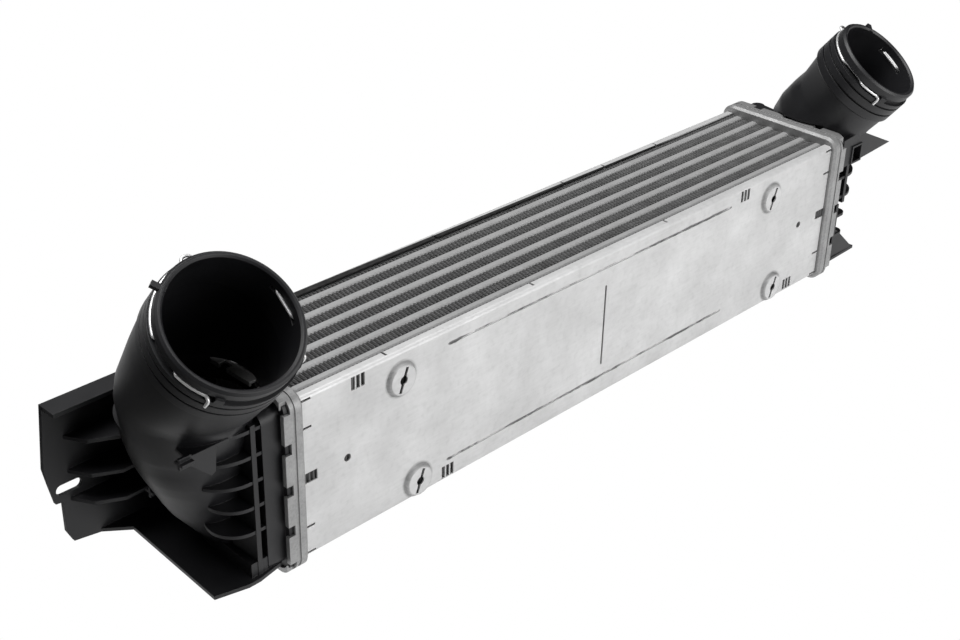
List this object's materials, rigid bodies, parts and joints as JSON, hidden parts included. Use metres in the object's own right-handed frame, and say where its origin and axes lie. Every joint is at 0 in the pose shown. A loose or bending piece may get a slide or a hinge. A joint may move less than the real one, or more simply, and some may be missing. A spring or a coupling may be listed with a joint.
{
  "type": "intercooler",
  "caption": "Air-to-air intercooler: brazed aluminium bar of flat tubes and corrugated fins between two black moulded end tanks with slanted round ports and spring clips.",
  "frame": {"origin": "on the outer face of the front side plate, midway between its two small mounting holes", "axes": "+X along the core from the left tank to the right one, +Y through the tube stack from the front side plate to the rear one, +Z along the cooling air's way, towards the side the ports lean to"},
  "size_m": [0.7085, 0.1425, 0.2102],
  "materials": {
    "bare_aluminium": "satin, as rolled",
    "fin_aluminium": "matte foil",
    "rim_aluminium": "dull, fluxed",
    "gasket_rubber": "matte",
    "black_plastic": "satin moulded",
    "spring_wire": "drawn wire"
  },
  "bodies": {
    "root": {"tube_1": "bare_aluminium", "tube_2": "bare_aluminium", "tube_3": "bare_aluminium", "tube_4": "bare_aluminium", "tube_5": "bare_aluminium", "tube_6": "bare_aluminium", "turbulator_1": "fin_aluminium", "turbulator_2": "fin_aluminium", "turbulator_3": "fin_aluminium", "turbulator_4": "fin_aluminium", "turbulator_5": "fin_aluminium", "turbulator_6": "fin_aluminium", "fin_row_1": "fin_aluminium", "fin_row_2": "fin_aluminium", "fin_row_3": "fin_aluminium", "fin_row_4": "fin_aluminium", "fin_row_5": "fin_aluminium", "fin_row_6": "fin_aluminium", "fin_row_7": "fin_aluminium", "side_plate_front": "bare_aluminium", "side_plate_rear": "bare_aluminium", "header_plate_left": "rim_aluminium", "header_plate_right": "rim_aluminium", "gasket_left": "gasket_rubber", "gasket_right": "gasket_rubber", "tank_left": "black_plastic", "tank_right": "black_plastic", "spring_clip_left": "spring_wire", "spring_clip_right": "spring_wire"}
  },
  "joints": []
}
